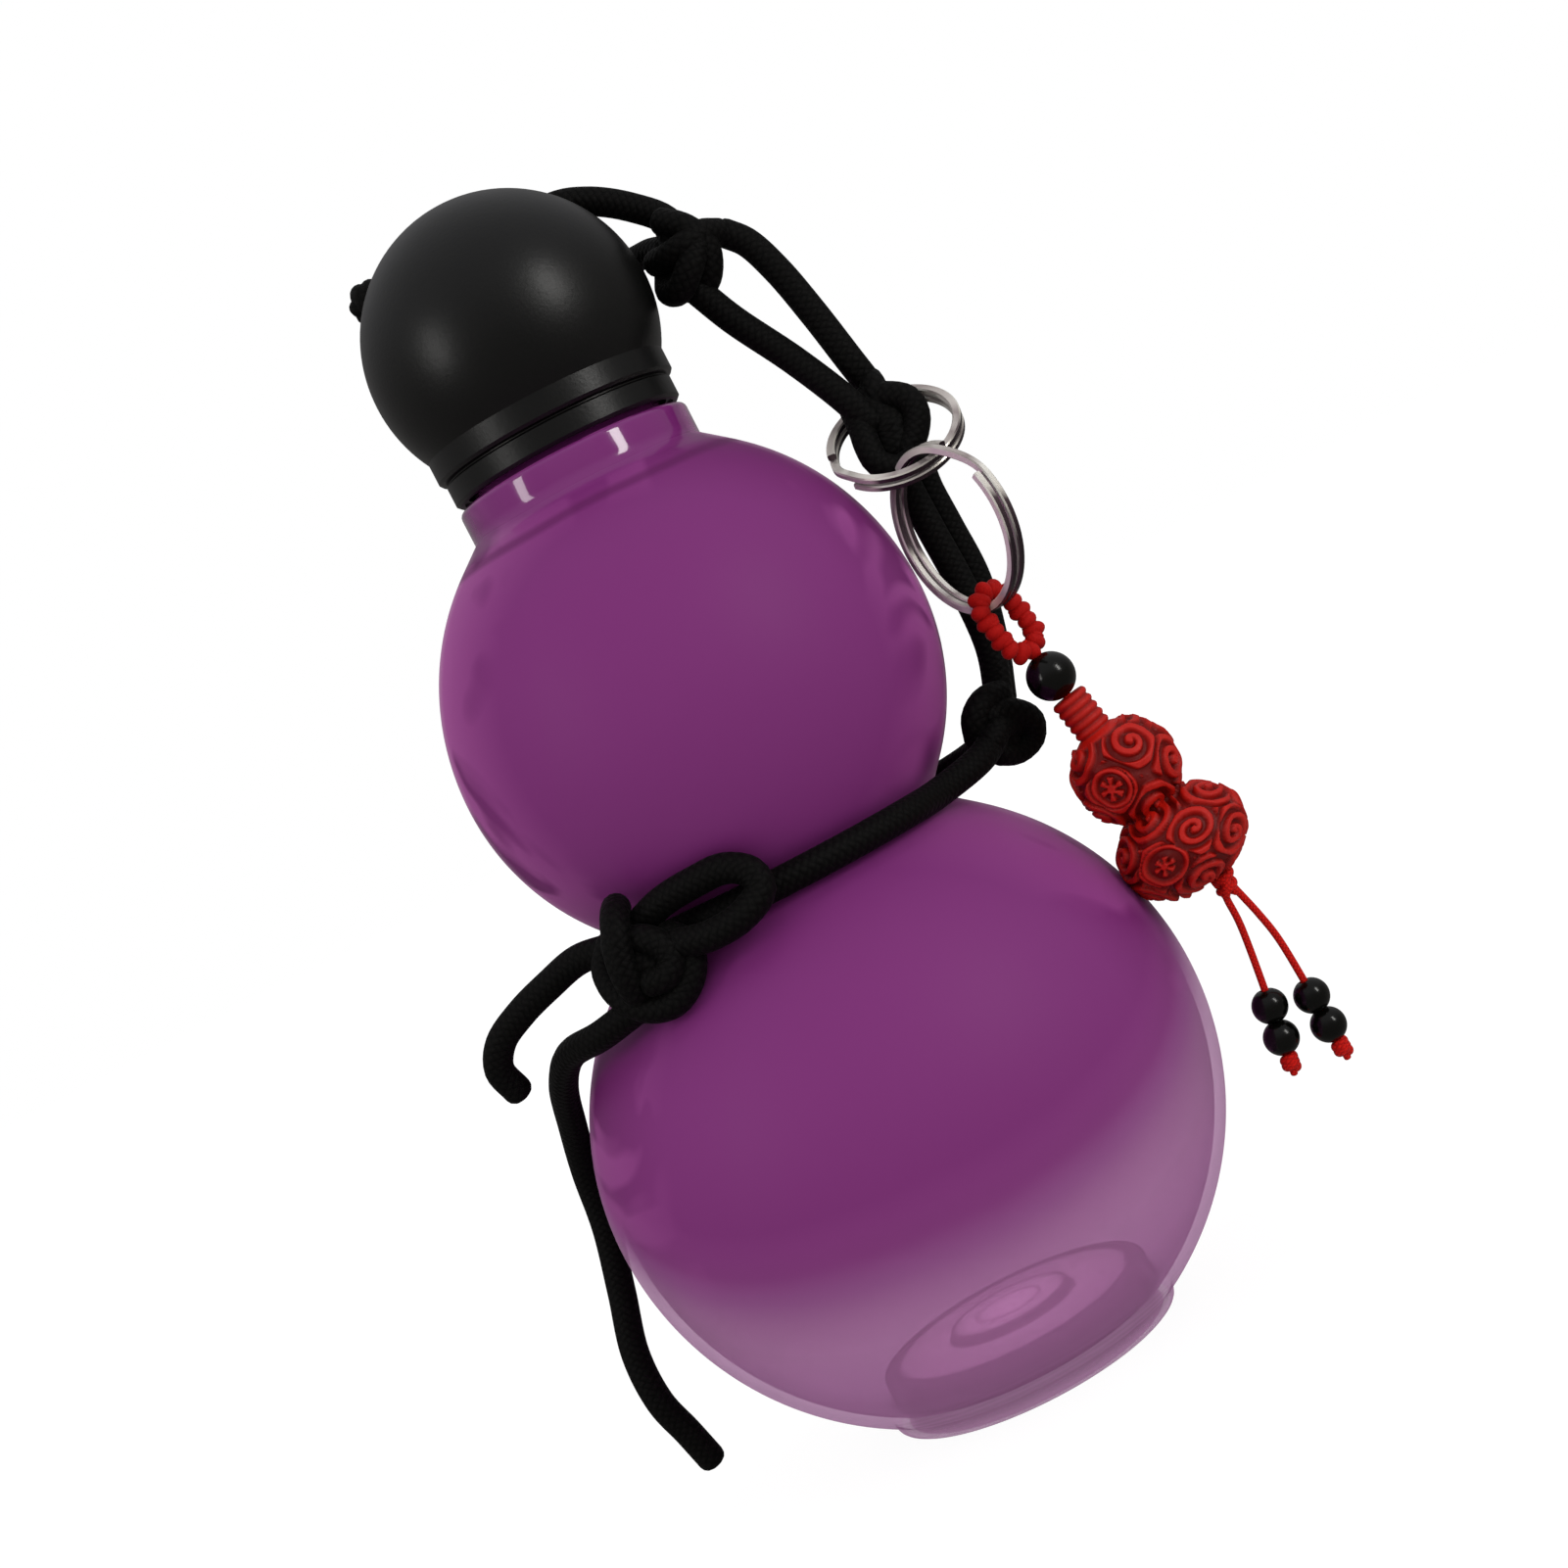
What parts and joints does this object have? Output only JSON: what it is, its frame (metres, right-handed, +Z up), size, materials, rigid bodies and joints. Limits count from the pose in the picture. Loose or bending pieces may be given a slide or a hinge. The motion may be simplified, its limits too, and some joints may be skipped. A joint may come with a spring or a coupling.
{
  "type": "gourd water bottle",
  "caption": "Gourd-shaped clear purple water bottle with a black ball screw cap, a black cord strap tied round the waist, key rings and a carved gourd charm",
  "frame": {"origin": "centre of the foot, on the surface the bottle stands on", "axes": "+Z up along the bottle's axis, -Y towards the picture's camera, +X to the side the charm hangs on"},
  "size_m": [0.1295, 0.1028, 0.2089],
  "materials": {
    "purple_clear": "gloss",
    "black_satin": "satin",
    "white_seal": "matte",
    "black_cord": "matte",
    "ring_wire": "polished",
    "red_lacquer": "semi_gloss",
    "red_braid": "matte",
    "black_gloss": "gloss"
  },
  "bodies": {
    "bottle": {"bottle_body": "purple_clear", "outer_strand": "black_cord", "inner_strand": "black_cord", "ring_knot": "black_cord", "band_cord_inner": "black_cord", "band_cord_outer": "black_cord", "side_knot": "black_cord", "waist_cord_front": "black_cord", "waist_cord_back": "black_cord", "tie_knot": "black_cord", "bow_loop": "black_cord", "short_tail": "black_cord", "long_tail": "black_cord"},
    "seal": {"seal_ring": "white_seal"},
    "cap": {"cap_shell": "black_satin", "cap_liner": "black_satin", "stopper_knot": "black_cord", "cap_cord": "black_cord", "cap_knot": "black_cord", "cap_knot_tail": "black_cord"},
    "small_ring": {"small_split_ring": "ring_wire"},
    "large_ring": {"large_split_ring": "ring_wire"},
    "charm": {"charm_loop": "red_braid", "charm_core_cord": "red_braid", "charm_gourd": "red_lacquer", "charm_foot_knot": "red_braid"},
    "charm_bead": {"charm_big_bead": "black_gloss"},
    "left_drop": {"left_string": "red_braid", "left_end_knot": "red_braid"},
    "left_low": {"left_lower_bead": "black_gloss"},
    "left_up": {"left_upper_bead": "black_gloss"},
    "right_drop": {"right_string": "red_braid", "right_end_knot": "red_braid"},
    "right_low": {"right_lower_bead": "black_gloss"},
    "right_up": {"right_upper_bead": "black_gloss"}
  },
  "joints": [
    {"name": "cap_rise", "type": "slide", "parent": "bottle", "child": "seal", "axis": [0, 0, 1], "range_m": [0, 0.008], "deforming": ["outer_strand", "inner_strand"]},
    {"name": "cap_turn", "type": "hinge", "parent": "seal", "child": "cap", "pos_m": [0, 0, 0.18], "axis": [0, 0, 1], "range_deg": [0, 720]},
    {"name": "small_ring_tilt", "type": "hinge", "parent": "bottle", "child": "small_ring", "pos_m": [0.0473, 0.00342, 0.14989], "axis": [-1, 0, 0], "range_deg": [0, 25]},
    {"name": "large_ring_swing", "type": "hinge", "parent": "small_ring", "child": "large_ring", "pos_m": [0.049, -0.01222, 0.13631], "axis": [-1, 0, 0], "range_deg": [0, 25]},
    {"name": "charm_swing", "type": "hinge", "parent": "large_ring", "child": "charm", "pos_m": [0.0486, -0.0112, 0.1116], "axis": [0.4848, -0.8746, 0], "range_deg": [0, 30]},
    {"name": "charm_bead_spin", "type": "hinge", "parent": "charm", "child": "charm_bead", "pos_m": [0.05135, -0.0112, 0.09818], "axis": [-0.2011, 0, 0.9796], "continuous": true},
    {"name": "left_string_swing", "type": "hinge", "parent": "charm", "child": "left_drop", "pos_m": [0.06016, -0.0112, 0.05464], "axis": [1, 0, 0], "range_deg": [-25, 25]},
    {"name": "left_lower_bead_slide", "type": "slide", "parent": "left_drop", "child": "left_low", "axis": [0.1208, 0, 0.9927], "range_m": [0, 0.0025]},
    {"name": "left_upper_bead_slide", "type": "slide", "parent": "left_low", "child": "left_up", "axis": [0.1208, 0, 0.9927], "range_m": [0, 0.0025]},
    {"name": "right_string_swing", "type": "hinge", "parent": "charm", "child": "right_drop", "pos_m": [0.06216, -0.0112, 0.05464], "axis": [1, 0, 0], "range_deg": [-25, 25]},
    {"name": "right_lower_bead_slide", "type": "slide", "parent": "right_drop", "child": "right_low", "axis": [-0.056, 0, 0.9984], "range_m": [0, 0.0025]},
    {"name": "right_upper_bead_slide", "type": "slide", "parent": "right_low", "child": "right_up", "axis": [-0.056, 0, 0.9984], "range_m": [0, 0.0025]}
  ],
  "couplings": [
    {"joint": "cap_turn", "follows": "cap_rise", "rad_per_m": 1570.8}
  ]
}
